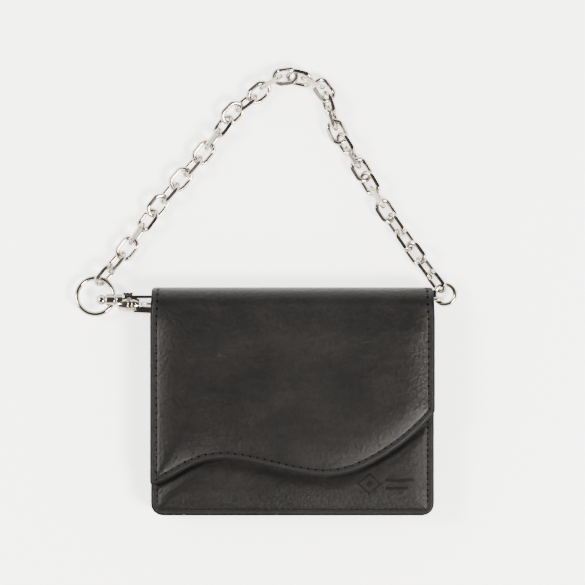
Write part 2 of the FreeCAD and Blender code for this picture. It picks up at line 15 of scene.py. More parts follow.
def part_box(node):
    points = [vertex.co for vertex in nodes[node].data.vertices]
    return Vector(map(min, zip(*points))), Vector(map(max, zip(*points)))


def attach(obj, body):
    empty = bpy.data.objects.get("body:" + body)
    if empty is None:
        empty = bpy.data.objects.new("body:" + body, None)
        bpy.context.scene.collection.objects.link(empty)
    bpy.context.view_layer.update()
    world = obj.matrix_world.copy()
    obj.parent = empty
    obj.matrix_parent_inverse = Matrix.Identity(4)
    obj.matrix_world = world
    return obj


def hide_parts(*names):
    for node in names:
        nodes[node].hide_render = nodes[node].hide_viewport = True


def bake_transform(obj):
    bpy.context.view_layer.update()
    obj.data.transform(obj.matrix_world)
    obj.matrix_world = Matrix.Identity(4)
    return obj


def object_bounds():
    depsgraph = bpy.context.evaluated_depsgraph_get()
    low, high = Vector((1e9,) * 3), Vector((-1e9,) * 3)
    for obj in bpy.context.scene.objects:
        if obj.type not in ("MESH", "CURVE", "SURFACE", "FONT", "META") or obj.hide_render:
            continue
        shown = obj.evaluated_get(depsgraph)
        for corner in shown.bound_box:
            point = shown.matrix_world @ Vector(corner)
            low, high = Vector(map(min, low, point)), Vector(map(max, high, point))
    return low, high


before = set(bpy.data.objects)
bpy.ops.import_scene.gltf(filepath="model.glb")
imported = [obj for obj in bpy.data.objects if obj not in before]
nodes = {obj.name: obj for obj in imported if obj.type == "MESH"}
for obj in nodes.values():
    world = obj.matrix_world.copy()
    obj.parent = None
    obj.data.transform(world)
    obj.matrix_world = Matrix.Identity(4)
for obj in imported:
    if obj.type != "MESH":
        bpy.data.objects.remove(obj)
size_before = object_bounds()
MM = 0.001
extent = [round(1000 * v, 1) for v in size_before[1] - size_before[0]]
print("frame loaded:", len(nodes), "pieces,", extent, "mm")

# %% [markdown]
# ## Sizes of the leather
# The sewn line runs the same distance inside every edge, because a sewing machine's foot follows the
# edge. Leather is thin enough to sink along the line and to puff up inside it. It is drawn thicker
# round the rim of the flap, where the layers of the flap meet.

# %% Leather sizes
flap_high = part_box("outer_flap")[1]
back_low, back_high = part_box("outer_back")
panel_low, panel_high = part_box("front_panel")
HALF_FLAP = flap_high.x
HALF_BODY = back_high.x
SPINE_Y = flap_high.y
SPINE_RADIUS = flap_high.z / 2
SPINE_START = SPINE_Y - SPINE_RADIUS
SPINE_TAPER = 12 * MM
SPINE_NARROWING = 0.6 * MM
SPINE_CORNER = 1.4 * MM
BOTTOM_CORNER = 5 * MM
HIDE = 1.4 * MM
HIDE_WITH_RIM = 2.3 * MM
HIDE_AT_SPINE = 1.15 * MM
RIM = 3.5 * MM
PANEL_LEATHER = panel_high.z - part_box("front_lining")[1].z
HIDE_ROUND = 0.4 * MM
PANEL_ROUND = 0.3 * MM
EDGE_ANGLE = math.radians(60)
SMOOTH_ANGLE = math.radians(50)
SEAM = 2.6 * MM
FLAP_STITCH = 3.0 * MM
PANEL_STITCH = 2.3 * MM
PUFF = 1.15 * MM
PUFF_REACH = 10 * MM
PUFF_CURVE = 2.2
SINK = 0.16 * MM
GROOVE = 0.45 * MM
SETTLE = 0.1 * MM
FADE = 10 * MM
NEAR_EDGE = [0, 0.25, 0.5, 0.9, 1.4, 1.9, 2.3, 2.7, 3.2, 4.0, 5.0, 6.3, 8.0, 10.0, 12.0]
print("flap half width", round(1000 * HALF_FLAP, 1), "spine radius", round(1000 * SPINE_RADIUS, 1))


def edge_y(x):
    """Where the flap's wavy edge is at a place along X, found on the CAD flap."""
    limit = HALF_FLAP - 0.02 * MM
    x = max(-limit, min(limit, x))
    start = Vector((x, SPINE_START - 4 * MM, flap_high.z - HIDE / 2))
    place = nodes["outer_flap"].ray_cast(start, Vector((0, -1, 0)))[1]
    return place.y


def half_width(y, half, corner=0.0):
    """Half the width of a panel at a place along Y: a taper at the spine and round corners."""
    taper = max(0.0, (y - (SPINE_Y - SPINE_TAPER)) / SPINE_TAPER)
    half = half - SPINE_NARROWING * taper
    above = y - (SPINE_Y - SPINE_CORNER)
    if above > 0:
        half -= SPINE_CORNER - math.sqrt(max(SPINE_CORNER ** 2 - above ** 2, 0))
    below = (back_low.y + corner) - y
    if corner and below > 0:
        half -= corner - math.sqrt(max(corner ** 2 - below ** 2, 0))
    return half


EDGE_STEP = 0.5 * MM
EDGE_TABLE = [
    edge_y(-HALF_FLAP + index * EDGE_STEP) for index in range(int(2 * HALF_FLAP / EDGE_STEP) + 1)
]


def wave(x):
    """The flap's edge read from a table made once, which is quicker than asking the mesh each time."""
    place = (x + HALF_FLAP) / EDGE_STEP
    index = max(0, min(len(EDGE_TABLE) - 2, int(place)))
    share = min(max(place - index, 0), 1)
    return EDGE_TABLE[index] * (1 - share) + EDGE_TABLE[index + 1] * share


def wave_slope(x):
    """How far the edge leans at a place, as the cosine of its angle."""
    inner = max(-HALF_FLAP + 3 * MM, min(HALF_FLAP - 3 * MM, x))
    rise = (wave(inner + 1 * MM) - wave(inner - 1 * MM)) / (2 * MM)
    return 1 / math.sqrt(1 + rise * rise)


def flap_edge_distance(x, y):
    """How far a point on the flap is from the nearest edge."""
    to_side = half_width(y, HALF_FLAP) - abs(x)
    to_wave = (y - wave(x)) * wave_slope(x)
    return max(0.0, min(to_side, to_wave))


def puff(distance):
    """Height of the leather beside an edge: it sinks at the seam and swells inside it."""
    share = max(0.0, min(1.0, (distance - SEAM) / PUFF_REACH))
    swell = PUFF * (1 - (1 - share) ** PUFF_CURVE)
    dip = SINK * math.exp(-((distance - SEAM) / GROOVE) ** 2)
    return swell - dip


# %% [markdown]
# ## Working by hand, in code
# Each helper does one thing that a person would do with the mouse: deselect, add, apply.

# %% Helpers


def only(thing):
    """Select one object and nothing else."""
    bpy.ops.object.select_all(action="DESELECT")
    thing.select_set(True)
    bpy.context.view_layer.objects.active = thing


def apply_all(thing):
    """Apply every modifier in order."""
    only(thing)
    for modifier in list(thing.modifiers):
        bpy.ops.object.modifier_apply(modifier=modifier.name)


def grid(name, columns, rows):
    """A flat grid primitive with this many rows and columns of points."""
    bpy.ops.mesh.primitive_grid_add(x_subdivisions=columns - 1, y_subdivisions=rows - 1, size=1)
    made = bpy.context.object
    made.name = name
    made.data.name = name
    return made


def across(half, inner_steps):
    """Places across a panel, from -1 to 1, close together near both sides."""
    near = [1 - value * MM / half for value in NEAR_EDGE]
    inner = near[-1]
    middle = [-inner + 2 * inner * step / inner_steps for step in range(1, inner_steps)]
    return [-value for value in near] + middle + near[::-1]


def outward(thing):
    """Merge doubles and turn every face outwards."""
    only(thing)
    bpy.ops.object.mode_set(mode="EDIT")
    bpy.ops.mesh.select_all(action="SELECT")
    bpy.ops.mesh.remove_doubles(threshold=0.01 * MM)
    bpy.ops.mesh.normals_make_consistent(inside=False)
    bpy.ops.object.mode_set(mode="OBJECT")


def store(thing, name, values):
    """Keep one number for each point of a mesh, for its material to read."""
    attribute = thing.data.attributes.new(name, "FLOAT", "POINT")
    attribute.data.foreach_set("value", values)


# %% [markdown]
# ## The hide: back, spine and flap
# One piece of cowhide wraps the wallet. It starts at the bottom of the back, bends round the spine
# in a half circle and comes forward as the flap, whose free edge is cut in a wave. It is modelled as
# one grid, as the real hide is one piece.

# %% Build the hide
INNER_COLUMNS = 46
FLAP_ROWS = 26
SPINE_ROWS = 20
BACK_ROWS = 44
columns = across(HALF_FLAP, INNER_COLUMNS)
path = [("near", value * MM) for value in NEAR_EDGE]
path += [("flap", step / FLAP_ROWS) for step in range(1, FLAP_ROWS + 1)]
path += [("spine", math.pi * step / SPINE_ROWS) for step in range(1, SPINE_ROWS + 1)]
path += [("back", step / BACK_ROWS) for step in range(1, BACK_ROWS + 1)]


def hide_point(across_share, kind, value):
    """Place of one grid point of the hide, from its share across and its step along the path."""
    if kind in ("near", "flap"):
        x = across_share * HALF_FLAP
        low = wave(x)
        y = low + min(value, NEAR_EDGE[-1] * MM) / wave_slope(x)
        if kind == "flap":
            y = low + NEAR_EDGE[-1] * MM / wave_slope(x)
            y = y + (SPINE_START - y) * value
        x = across_share * half_width(y, HALF_FLAP)
        swollen = max(0.0, min(1.0, (SPINE_START - y) / FADE))
        return Vector((x, y, flap_high.z - SETTLE + swollen * puff(flap_edge_distance(x, y))))
    if kind == "spine":
        y = SPINE_START + SPINE_RADIUS * math.sin(value)
        z = SPINE_RADIUS + SPINE_RADIUS * math.cos(value)
        half = HALF_FLAP if value < math.pi / 2 else HALF_BODY
        return Vector((across_share * half_width(y, half), y, z))
    y = SPINE_START + (back_low.y - SPINE_START) * value
    return Vector((across_share * half_width(y, HALF_BODY, BOTTOM_CORNER), y, 0))


hide = grid("leather_hide", len(columns), len(path))
for vertex in hide.data.vertices:
    column = vertex.index % len(columns)
    row = vertex.index // len(columns)
    vertex.co = hide_point(columns[column], *path[row])

rim_group = hide.vertex_groups.new(name="thick")
for vertex in hide.data.vertices:
    kind = path[vertex.index // len(columns)][0]
    distance = flap_edge_distance(vertex.co.x, vertex.co.y)
    thick = kind in ("near", "flap") and distance < RIM
    wanted = HIDE_AT_SPINE if kind == "spine" else HIDE
    rim_group.add([vertex.index], 1.0 if thick else wanted / HIDE_WITH_RIM, "REPLACE")
outward(hide)
solid = hide.modifiers.new("thickness", "SOLIDIFY")
solid.thickness = HIDE_WITH_RIM
solid.offset = -1
solid.vertex_group = "thick"
rounded = hide.modifiers.new("round edges", "BEVEL")
rounded.width = HIDE_ROUND
rounded.segments = 3
rounded.limit_method = "ANGLE"
rounded.angle_limit = EDGE_ANGLE
apply_all(hide)
bpy.ops.object.shade_smooth_by_angle(angle=SMOOTH_ANGLE)
lowest = min(vertex.co.z for vertex in hide.data.vertices)
print("hide:", len(hide.data.polygons), "faces, lowest z", round(1000 * lowest, 2), "mm")

# %% [markdown]
# ## The front panel
# The front is a second piece of leather. It is turned down round the bottom and sewn to the back,
# so its lower corners are soft and its sides stay open for the gussets.

# %% Build the front panel
PANEL_ROWS = 40
PANEL_COLUMNS = 46
WALL_TOP = back_low.y + BOTTOM_CORNER
FOLD = 1.9 * MM
FOLD_ANGLE = math.radians(55)
WAVE_GAP = 0.5 * MM
WAVE_FADE = 4 * MM
columns = across(HALF_BODY, PANEL_COLUMNS)
rows = [value * MM for value in NEAR_EDGE]
panel_length = panel_high.y - panel_low.y
rows += [rows[-1] + (panel_length - 2 * rows[-1]) * step / PANEL_ROWS for step in range(1, PANEL_ROWS)]
rows += [panel_length - value * MM for value in NEAR_EDGE[::-1]]


def panel_distance(x, y):
    """How far a point on the front panel is from its sewn sides and bottom."""
    return max(0.0, min(half_width(y, HALF_BODY, BOTTOM_CORNER) - abs(x), y - back_low.y))


panel = grid("leather_front", len(columns), len(rows))
for vertex in panel.data.vertices:
    y = panel_low.y + rows[vertex.index // len(columns)]
    x = columns[vertex.index % len(columns)] * half_width(y, HALF_BODY, BOTTOM_CORNER)
    bare = max(0.0, min(1.0, (wave(x) - WAVE_GAP - y) / WAVE_FADE))
    lift = bare * puff(panel_distance(x, y))
    vertex.co = Vector((x, y, panel_high.z - SETTLE + lift))

only(panel)
bpy.ops.object.mode_set(mode="EDIT")
bpy.ops.mesh.select_all(action="DESELECT")
bpy.ops.object.mode_set(mode="OBJECT")
last_column = len(columns) - 1
for vertex in panel.data.vertices:
    at_side = vertex.index % len(columns) in (0, last_column)
    vertex.select = vertex.co.y < panel_low.y + 0.01 * MM or (at_side and vertex.co.y < WALL_TOP)
bpy.ops.object.mode_set(mode="EDIT")
bpy.ops.mesh.select_mode(type="VERT")
bpy.ops.mesh.select_mode(type="EDGE")
wall_height = panel_high.z - panel_low.z
bpy.ops.mesh.extrude_edges_move(TRANSFORM_OT_translate={"value": (0, 0, -wall_height)})
bpy.ops.mesh.select_all(action="SELECT")
bpy.ops.mesh.normals_make_consistent(inside=False)
bpy.ops.object.mode_set(mode="OBJECT")
fold = panel.modifiers.new("soft fold", "BEVEL")
fold.width = FOLD
fold.segments = 5
fold.limit_method = "ANGLE"
fold.angle_limit = FOLD_ANGLE
apply_all(panel)
outward(panel)
solid = panel.modifiers.new("thickness", "SOLIDIFY")
solid.thickness = PANEL_LEATHER
solid.offset = -1
rounded = panel.modifiers.new("round edges", "BEVEL")
rounded.width = PANEL_ROUND
rounded.segments = 3
rounded.limit_method = "ANGLE"
rounded.angle_limit = EDGE_ANGLE
apply_all(panel)
bpy.ops.object.shade_smooth_by_angle(angle=SMOOTH_ANGLE)
print("front panel:", len(panel.data.polygons), "faces")

# %% Tell each point how far it is from its edge
hide_distance = []
for vertex in hide.data.vertices:
    place = vertex.co
    if place.y > SPINE_START or place.z < SPINE_RADIUS:
        reach = half_width(place.y, HALF_BODY, BOTTOM_CORNER) - abs(place.x)
        if place.z < SPINE_RADIUS and place.y < SPINE_START:
            reach = min(reach, place.y - back_low.y)
        hide_distance.append(1000 * max(0.0, reach))
    else:
        hide_distance.append(1000 * flap_edge_distance(place.x, place.y))
store(hide, "edge_mm", hide_distance)
panel_values = []
for vertex in panel.data.vertices:
    place = vertex.co
    to_mouth = panel_high.y - place.y
    panel_values.append(1000 * min(panel_distance(place.x, place.y), max(0.0, to_mouth)))
store(panel, "edge_mm", panel_values)
print("edge distances stored, up to", round(max(hide_distance), 1), "mm")

# %% [markdown]
# ## Stitching
# A lockstitch shows a short length of thread between two needle holes. Black waxed thread on black
# leather hardly shows, so the holes are what the eye sees. One stitch and two holes, a large one and a
# small one for the bottom rows, are modelled and then copied along the seams.

# %% Seam helpers
RAY_START = 20 * MM
THREAD_SINK = 0.06 * MM
HOLE_RISE = 0.01 * MM


def smooth(thing):
    """Smooth shading, and the object left at the origin, unturned and unscaled."""
    only(thing)
    bpy.ops.object.transform_apply(location=True, rotation=True, scale=True)
    bpy.ops.object.shade_smooth()
    return thing


def copies(name, pattern, places):
    """Copies of a small shape at these (place, along, up) places, joined into one piece."""
    made = []
    for place, along, up in places:
        copy = pattern.copy()
        copy.data = pattern.data.copy()
        bpy.context.scene.collection.objects.link(copy)
        side = up.cross(along).normalized()
        rows_of_matrix = [
            [along.x, side.x, up.x, place.x],
            [along.y, side.y, up.y, place.y],
            [along.z, side.z, up.z, place.z],
            [0, 0, 0, 1],
        ]
        copy.data.transform(Matrix(rows_of_matrix))
        made.append(copy)
    bpy.ops.object.select_all(action="DESELECT")
    for copy in made:
        copy.select_set(True)
    bpy.context.view_layer.objects.active = made[0]
    bpy.ops.object.join()
    joined = bpy.context.object
    joined.name = name
    joined.data.name = name
    print(name, "made of", len(made), "copies")
    return joined


def along_line(points, pitch):
    """Evenly spaced (place, direction) pairs along a line of points."""
    places = []
    carried = pitch / 2
    for start, end in zip(points, points[1:]):
        length = (end - start).length
        way = (end - start).normalized()
        while carried < length:
            places.append((start + way * carried, way))
            carried += pitch
        carried -= length
    return places


def on_surface(thing, place, from_side):
    """The point and the outward normal of a piece's surface under a place."""
    start = place + from_side * RAY_START
    hit, spot, normal = thing.ray_cast(start, -from_side)[:3]
    return (spot, normal) if hit else (None, None)


# %% Make one stitch and two holes
THREAD_SIZE = (0.42 * FLAP_STITCH, 0.27 * MM, 0.2 * MM)
HOLE_SIZE = (0.46 * MM, 0.4 * MM, 0.16 * MM)
SMALL_SHARE = 0.6
bpy.ops.mesh.primitive_uv_sphere_add(segments=8, ring_count=6, radius=1)
thread_shape = bpy.context.object
thread_shape.scale = THREAD_SIZE
smooth(thread_shape)
# The holes are blobs that stand on the surface; their near-black material is painted shade for a deep
# needle hole.
bpy.ops.mesh.primitive_uv_sphere_add(segments=8, ring_count=4, radius=1)
hole_shape = bpy.context.object
hole_shape.scale = HOLE_SIZE
smooth(hole_shape)
small_hole = hole_shape.copy()
small_hole.data = hole_shape.data.copy()
bpy.context.scene.collection.objects.link(small_hole)
small_hole.scale = (SMALL_SHARE, SMALL_SHARE, SMALL_SHARE)
smooth(small_hole)


def seam(name, thing, points, from_side, pitch, hole=hole_shape):
    """Threads and holes along one seam of a piece."""
    threads = []
    holes = []
    for place, way in along_line(points, pitch):
        spot, normal = on_surface(thing, place, from_side)
        if spot is None:
            continue
        along = (way - normal * way.dot(normal)).normalized()
        threads.append((spot - normal * THREAD_SINK, along, normal))
        holes.append((spot + along * pitch / 2 + normal * HOLE_RISE, along, normal))
    return copies(name + "_thread", thread_shape, threads), copies(name + "_holes", hole, holes)


# %% Sew the flap
up = Vector((0, 0, 1))
SEAM_TURN = math.radians(80)
SEAM_STEPS = 60
seam_side = []
for step in range(SEAM_STEPS):
    turn = SEAM_TURN * (1 - step / SEAM_STEPS)
    y = SPINE_START + SPINE_RADIUS * math.sin(turn)
    seam_side.append((y, SPINE_RADIUS + SPINE_RADIUS * math.cos(turn)))
seam_end = wave(-HALF_FLAP + SEAM) + SEAM
for step in range(SEAM_STEPS):
    seam_side.append((SPINE_START + (seam_end - SPINE_START) * step / SEAM_STEPS, flap_high.z))
flap_line = [Vector((-(half_width(y, HALF_FLAP) - SEAM), y, z)) for y, z in seam_side]
for step in range(2 * SEAM_STEPS + 1):
    x = -HALF_FLAP + SEAM + (HALF_FLAP - SEAM) * step / SEAM_STEPS
    flap_line.append(Vector((x, wave(x) + SEAM / wave_slope(x), flap_high.z)))
for y, z in seam_side[::-1]:
    if y > flap_line[4 * SEAM_STEPS].y:
        flap_line.append(Vector((half_width(y, HALF_FLAP) - SEAM, y, z)))
flap_thread, flap_holes = seam("flap_seam", hide, flap_line, up, FLAP_STITCH)

# %% [markdown]
# The panel and the back are sewn at the left, at the right and along the bottom. Each of these seams
# is its own piece, on the panel and on the back.

# %% Sew the panel and the back
SEAM_BELOW_MOUTH = 3 * MM
SEAM_ABOVE_CORNER = 2 * MM
LINE_STEPS = 80
inner = HALF_BODY - SEAM
bottom = back_low.y + SEAM
seam_start = panel_high.y - SEAM_BELOW_MOUTH
side_length = seam_start - bottom - SEAM_ABOVE_CORNER
down = [seam_start - side_length * step / LINE_STEPS for step in range(LINE_STEPS + 1)]
left_line = [Vector((-inner, y, 0)) for y in down]
right_line = [Vector((inner, y, 0)) for y in down]
bottom_line = [
    Vector((-inner + 2 * inner * step / LINE_STEPS, bottom, 0)) for step in range(LINE_STEPS + 1)
]
panel_seams = [
    seam("panel_left_seam", panel, left_line, up, PANEL_STITCH),
    seam("panel_right_seam", panel, right_line, up, PANEL_STITCH),
    seam("panel_bottom_seam", panel, bottom_line, up, PANEL_STITCH, small_hole),
    seam("back_left_seam", hide, left_line, -up, PANEL_STITCH),
    seam("back_right_seam", hide, right_line, -up, PANEL_STITCH),
    seam("back_bottom_seam", hide, bottom_line, -up, PANEL_STITCH, small_hole),
]
panel_threads = [thread for thread, holes in panel_seams]
panel_holes = [holes for thread, holes in panel_seams]
for pattern in (thread_shape, hole_shape, small_hole):
    bpy.data.objects.remove(pattern)

# %% [markdown]
# ## What the surfaces are made of
# Each material starts from its real name, from how it was made, and from what that gives the eye.

# %% Material helpers


def linear(code):
    """An sRGB hex colour as the linear values that Blender mixes."""
    values = []
    for start in (1, 3, 5):
        value = int(code[start:start + 2], 16) / 255
        values.append(value / 12.92 if value <= 0.04045 else ((value + 0.055) / 1.055) ** 2.4)
    return (*values, 1)


def add(tree, kind, inputs=None, **settings):
    """Add one shader node with its settings; an input is a value, a socket or a node's first output."""
    made = tree.nodes.new("ShaderNode" + kind)
    for key, value in settings.items():
        setattr(made, key, value)
    for key, value in (inputs or {}).items():
        if isinstance(value, bpy.types.Node):
            value = value.outputs[0]
        if isinstance(value, bpy.types.NodeSocket):
            tree.links.new(value, made.inputs[key])
        else:
            made.inputs[key].default_value = value
    return made


def start_material(name):
    """An empty material with its Principled shader and its output."""
    made = bpy.data.materials.new(name)
    made.use_nodes = True
    tree = made.node_tree
    tree.nodes.clear()
    shader = add(tree, "BsdfPrincipled")
    add(tree, "OutputMaterial", {"Surface": shader.outputs["BSDF"]})
    return made, tree, shader


def finish_material(tree, shader, sockets):
    """Link a pattern's last nodes to the sockets of the shader."""
    for key, node in sockets.items():
        tree.links.new(node.outputs[0], shader.inputs[key])


def dress(names, material):
    """Put one material on these CAD pieces."""
    for name in names:
        thing = nodes[name]
        thing.data.materials.clear()
        thing.data.materials.append(material)
        only(thing)
        bpy.ops.object.shade_smooth_by_angle(angle=math.radians(30))


# %% [markdown]
# ### Black cowhide
# Chrome-tanned cowhide, dyed through, sprayed with a thin black finish and ironed. It keeps a pebble
# grain, some longer creases, and a soft satin sheen that is uneven where hands have rubbed it. The
# pebbles are drawn about 1.2 mm across, coarser than on most hides, so that they show from the
# camera. The cut edges are sealed with a slightly blue acrylic edge paint, which is smoother than the
# grain. The material reads how far each point is from its edge, so the paint and the sewn line follow
# every edge, however it curves.
# The colour is also darkened in the pebbles' hollows, on the rim outside the sewn line, along the sewn
# line and in the pressed mark: painted shade.

# %% The pressed mark
STAMP_X = 31.0 * MM
STAMP_Y = -33.2 * MM
STAMP_SLANT = 1.15
STAMP_REACH = 4.6 * MM
STAMP_LINE = 0.42 * MM
STAMP_MIDDLE = 1.5 * MM
STAMP_SOFT = 0.14 * MM
BAR_START = 37.6 * MM
BAR_HALF_HEIGHT = 0.5 * MM
BARS = ((-31.7 * MM, 5.6 * MM), (-34.9 * MM, 4.4 * MM))


def band(tree, value, middle, half, soft):
    """One inside a band of values and nought outside it."""
    offset = add(tree, "Math", {0: value, 1: middle}, operation="SUBTRACT")
    away = add(tree, "Math", {0: offset}, operation="ABSOLUTE")
    return add(tree, "MapRange", {
        "Value": away, "From Min": half - soft, "From Max": half + soft, "To Min": 1.0, "To Max": 0.0,
    }, interpolation_type="SMOOTHSTEP")


def stamp_mask(tree, place):
    """A plain pressed mark: a rhombus with a smaller one inside, and two bars beside it."""
    axes = add(tree, "SeparateXYZ", {0: place})
    x, y = axes.outputs["X"], axes.outputs["Y"]
    beside = add(tree, "Math", {0: x, 1: STAMP_X}, operation="SUBTRACT")
    above = add(tree, "Math", {0: y, 1: STAMP_Y}, operation="SUBTRACT")
    wide = add(tree, "Math", {0: beside}, operation="ABSOLUTE")
    tall = add(tree, "Math", {0: above}, operation="ABSOLUTE")
    reach = add(tree, "Math", {0: tall, 1: STAMP_SLANT, 2: wide}, operation="MULTIPLY_ADD")
    outline = band(tree, reach, STAMP_REACH, STAMP_LINE, STAMP_SOFT)
    filled = band(tree, reach, 0.0, STAMP_MIDDLE, STAMP_SOFT)
    mask = add(tree, "Math", {0: outline, 1: filled}, operation="MAXIMUM")
    for bar_y, half_length in BARS:
        beside_bar = band(tree, x, BAR_START + half_length, half_length, STAMP_SOFT)
        over_bar = band(tree, y, bar_y, BAR_HALF_HEIGHT, STAMP_SOFT)
        bar = add(tree, "Math", {0: beside_bar, 1: over_bar}, operation="MULTIPLY")
        mask = add(tree, "Math", {0: mask, 1: bar}, operation="MAXIMUM")
    return mask


print("pressed mark, a rhombus and", len(BARS), "bars")

# %% Leather material
PEBBLES = 0.85 / MM
PORES = 2.6 / MM
CREASES = 0.09 / MM
RUBBED = 0.06 / MM
WAVES = 0.024 / MM
CREASE_STRETCH = (1.0, 2.6, 1.0)
CREASE_TURN = math.radians(14)
CREASE_WIDTH = 0.03
GRAIN_DEPTH = 0.22 * MM
SLOW_DEPTH = 0.8 * MM
STAMP_DEPTH = 0.8 * MM
SHINE = 0.17
SEAM_MM = SEAM / MM
PAINT_MM = (0.65, 1.05)
# The rim outside the sewn line gets a painted shade in its colour and a duller finish.
RIM_MM = (SEAM_MM - 0.3, SEAM_MM + 0.4)


def leather_material(name, colour, with_edge, stamped=False):
    """Grained black leather; with_edge reads the distance to the edge for the edge paint, and for painted
    shade on the rim and along the seam.
    """
    material, tree, shader = start_material(name)
    place = add(tree, "TexCoord").outputs["Object"]
    pebble = add(tree, "TexVoronoi", {
        "Vector": place, "Scale": PEBBLES, "Randomness": 1.0,
    }, feature="SMOOTH_F1").outputs["Distance"]
    fine = add(tree, "TexNoise", {
        "Vector": place, "Scale": PORES, "Detail": 4.0, "Roughness": 0.6,
    }).outputs["Fac"]
    cloudy = add(tree, "TexNoise", {
        "Vector": place, "Scale": RUBBED, "Detail": 3.0, "Roughness": 0.55,
    }).outputs["Fac"]
    broad = add(tree, "TexNoise", {
        "Vector": place, "Scale": WAVES, "Detail": 2.0, "Roughness": 0.5,
    }).outputs["Fac"]
    stretched = add(tree, "Mapping", {
        "Vector": place, "Scale": CREASE_STRETCH, "Rotation": (0, 0, CREASE_TURN),
    })
    crease = add(tree, "TexNoise", {
        "Vector": stretched, "Scale": CREASES, "Detail": 5.0, "Roughness": 0.6, "Distortion": 0.8,
    }).outputs["Fac"]
    from_middle = add(tree, "Math", {0: crease, 1: 0.5}, operation="SUBTRACT")
    crease_line = add(tree, "Math", {0: from_middle}, operation="ABSOLUTE")
    crease_dip = add(tree, "MapRange", {
        "Value": crease_line, "From Min": 0.0, "From Max": CREASE_WIDTH,
    }, interpolation_type="SMOOTHSTEP")
    grain = 0.0
    for layer, weight in ((pebble, 0.6), (fine, 0.5), (crease_dip, 0.1)):
        grain = add(tree, "Math", {0: layer, 1: weight, 2: grain}, operation="MULTIPLY_ADD")
    rough = add(tree, "MapRange", {
        "Value": broad, "From Min": 0.3, "From Max": 0.7, "To Min": 0.34, "To Max": 0.44,
    })
    worn = add(tree, "MapRange", {
        "Value": cloudy, "From Min": 0.3, "From Max": 0.7,
    }, interpolation_type="SMOOTHSTEP")
    # Painted shade: the colour is darkened in the hollows between the pebbles.
    hollow_shade = add(tree, "MapRange", {
        "Value": pebble, "From Min": 0.25, "From Max": 0.75,
    }, interpolation_type="SMOOTHSTEP")
    base = add(tree, "MixRGB", {
        "Fac": worn, "Color1": linear(colour[0]), "Color2": linear(colour[1]),
    })
    paint_and_shade_layers = [(hollow_shade, 0.55, "#030303")]
    if with_edge:
        edge = add(tree, "Attribute", attribute_name="edge_mm", attribute_type="GEOMETRY").outputs["Fac"]
        painted = add(tree, "MapRange", {
            "Value": edge, "From Min": PAINT_MM[0], "From Max": PAINT_MM[1], "To Min": 1.0, "To Max": 0.0,
        }, interpolation_type="SMOOTHSTEP")
        # Painted shade: the rim outside the sewn line is tinted as shade; its roughness is also raised.
        rim_shade_and_dull = add(tree, "MapRange", {
            "Value": edge, "From Min": RIM_MM[0], "From Max": RIM_MM[1], "To Min": 1.0, "To Max": 0.0,
        }, interpolation_type="SMOOTHSTEP")
        # Painted shade: the colour is darkened along the sunken sewn line.
        seam_shade = band(tree, edge, SEAM_MM, 0.45, 0.3)
        paint_and_shade_layers += [(rim_shade_and_dull, 0.35, "#0e0e0f"), (painted, 1.0, "#07080b"), (seam_shade, 0.6, "#0a0a0a")]
        rough = add(tree, "Math", {0: rim_shade_and_dull, 1: 0.08, 2: rough}, operation="MULTIPLY_ADD")
        rough = add(tree, "Math", {0: painted, 1: -0.08, 2: rough}, operation="MULTIPLY_ADD")
        unpainted = add(tree, "Math", {0: 1.0, 1: painted}, operation="SUBTRACT")
        grain = add(tree, "Math", {0: grain, 1: unpainted}, operation="MULTIPLY")
    normal = add(tree, "Bump", {"Strength": 0.8, "Distance": GRAIN_DEPTH, "Height": grain})
    normal = add(tree, "Bump", {
        "Strength": 0.6, "Distance": SLOW_DEPTH, "Height": broad, "Normal": normal,
    })
    shader.inputs["Specular IOR Level"].default_value = SHINE
    if stamped:
        mask = stamp_mask(tree, place)
        # Painted shade: the colour is darkened inside the pressed mark.
        paint_and_shade_layers.append((mask, 0.4, "#010101"))
        raised = add(tree, "Math", {0: 1.0, 1: mask}, operation="SUBTRACT")
        normal = add(tree, "Bump", {
            "Strength": 1.0, "Distance": STAMP_DEPTH, "Height": raised, "Normal": normal,
        })
        level = add(tree, "Math", {0: mask, 1: -0.35 * SHINE, 2: SHINE}, operation="MULTIPLY_ADD")
        finish_material(tree, shader, {"Specular IOR Level": level})
    # The edge paint and the painted shades are mixed into the base colour, one layer after another.
    for share, strength, code in paint_and_shade_layers:
        amount = add(tree, "Math", {0: share, 1: strength}, operation="MULTIPLY")
        base = add(tree, "MixRGB", {"Fac": amount, "Color1": base, "Color2": linear(code)})
    finish_material(tree, shader, {"Base Color": base, "Roughness": rough, "Normal": normal})
    return material


# %% Dress the leather
cowhide = leather_material("black_cowhide", ("#090909", "#0f0e0e"), True)
stamped_cowhide = leather_material("stamped_cowhide", ("#090909", "#0f0e0e"), True, True)
thin_leather = leather_material("thin_black_leather", ("#0a0a0a", "#0f0f0f"), False)
for piece, material in ((hide, cowhide), (panel, stamped_cowhide)):
    piece.data.materials.clear()
    piece.data.materials.append(material)
dress(["tab_left", "tab_right", "gusset_left", "gusset_right", "divider"], thin_leather)
dress(["card_pocket_back", "card_pocket_front", "outer_flap", "outer_back", "front_panel"], thin_leather)
print("leather material has", len(cowhide.node_tree.nodes), "nodes")

# %% [markdown]
# ### Thread
# Waxed polyester thread, twisted from three strands. It is black and duller than the leather, so it
# hardly shows. The needle holes are deep and hardly any light comes out of them. They are drawn as
# small near-black blobs on the surface, so their darkness is painted shade.

